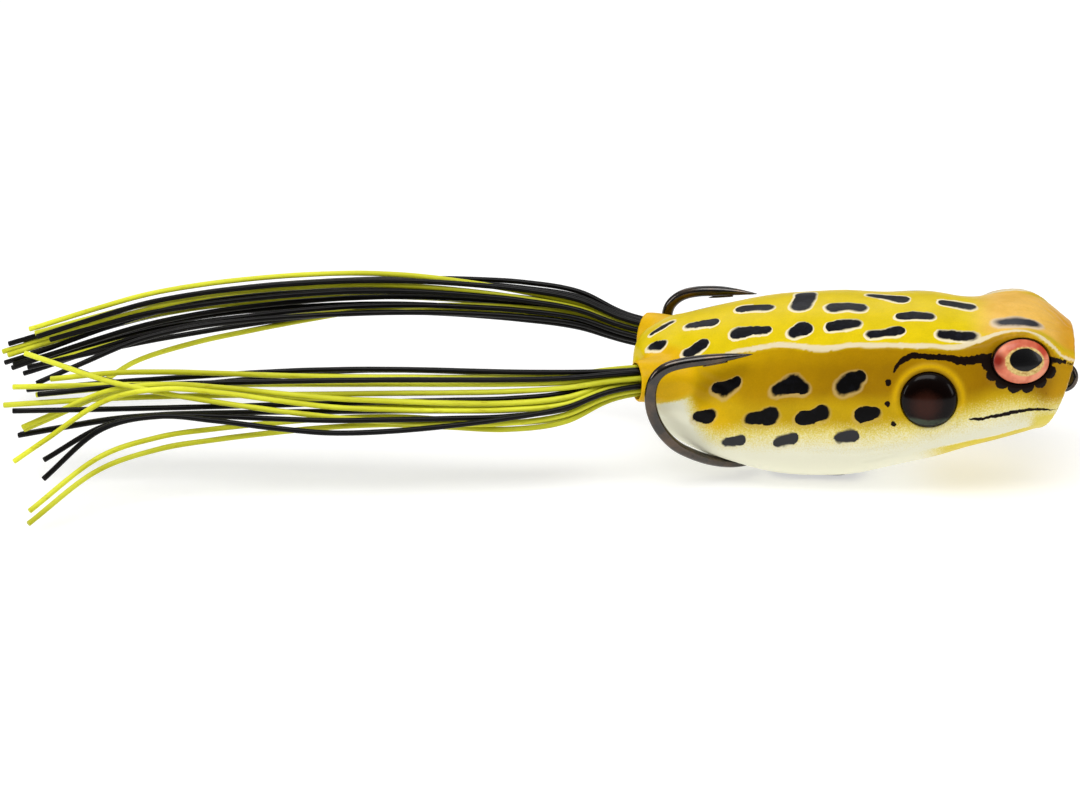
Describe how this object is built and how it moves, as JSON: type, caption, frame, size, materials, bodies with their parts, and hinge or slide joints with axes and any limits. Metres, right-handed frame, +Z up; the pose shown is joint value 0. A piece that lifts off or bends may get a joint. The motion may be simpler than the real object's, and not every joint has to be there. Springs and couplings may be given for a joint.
{
  "type": "topwater popping frog lure",
  "caption": "Hollow soft-bodied popping frog fishing lure with a cupped mouth, upturned double hook, belly weight and two splayed legs of loose rubber strands.",
  "frame": {"origin": "centre of the belly weight's flat underside, the lowest point of the lure", "axes": "+X towards the nose, +Y to the frog's left, +Z up out of the back"},
  "size_m": [0.1581, 0.0528, 0.026],
  "materials": {
    "skin": "satin",
    "wire": "polished",
    "weight": "satin",
    "eye": "gloss",
    "ear": "gloss",
    "collar": "matte",
    "strand_yellow": "satin",
    "strand_black": "satin"
  },
  "bodies": {
    "frog": {"body_shell": "skin", "double_hook": "wire", "belly_weight": "weight", "eye_right": "eye", "eye_left": "eye", "ear_dome_right": "ear", "ear_dome_left": "ear", "skirt_collar_right": "collar", "skirt_collar_left": "collar"},
    "right_leg": {"right_strand_01": "strand_yellow", "right_strand_02": "strand_yellow", "right_strand_03": "strand_yellow", "right_strand_04": "strand_yellow", "right_strand_05": "strand_yellow", "right_strand_06": "strand_yellow", "right_strand_07": "strand_yellow", "right_strand_08": "strand_yellow", "right_strand_09": "strand_yellow", "right_strand_10": "strand_yellow", "right_strand_11": "strand_black", "right_strand_12": "strand_black", "right_strand_13": "strand_black", "right_strand_14": "strand_black", "right_strand_15": "strand_black", "right_strand_16": "strand_black", "right_strand_17": "strand_black", "right_strand_18": "strand_black"},
    "left_leg": {"left_strand_01": "strand_yellow", "left_strand_02": "strand_yellow", "left_strand_03": "strand_yellow", "left_strand_04": "strand_yellow", "left_strand_05": "strand_yellow", "left_strand_06": "strand_yellow", "left_strand_07": "strand_black", "left_strand_08": "strand_black", "left_strand_09": "strand_black", "left_strand_10": "strand_black", "left_strand_11": "strand_black", "left_strand_12": "strand_black", "left_strand_13": "strand_black", "left_strand_14": "strand_black", "left_strand_15": "strand_black", "left_strand_16": "strand_black", "left_strand_17": "strand_black", "left_strand_18": "strand_black"}
  },
  "joints": [
    {"name": "right_leg_swing", "type": "hinge", "parent": "frog", "child": "right_leg", "pos_m": [-0.0262, -0.0097, 0.0161], "axis": [0, 0, 1], "range_deg": [-4, 30], "stiffness_Nm_per_rad": 0.0002, "deforming": ["right_strand_01", "right_strand_02", "right_strand_03", "right_strand_04", "right_strand_05", "right_strand_06", "right_strand_07", "right_strand_08", "right_strand_09", "right_strand_10", "right_strand_11", "right_strand_12", "right_strand_13", "right_strand_14", "right_strand_15", "right_strand_16", "right_strand_17", "right_strand_18"]},
    {"name": "left_leg_swing", "type": "hinge", "parent": "frog", "child": "left_leg", "pos_m": [-0.0262, 0.0097, 0.0161], "axis": [0, 0, -1], "range_deg": [-4, 30], "stiffness_Nm_per_rad": 0.0002, "deforming": ["left_strand_01", "left_strand_02", "left_strand_03", "left_strand_04", "left_strand_05", "left_strand_06", "left_strand_07", "left_strand_08", "left_strand_09", "left_strand_10", "left_strand_11", "left_strand_12", "left_strand_13", "left_strand_14", "left_strand_15", "left_strand_16", "left_strand_17", "left_strand_18"]}
  ]
}
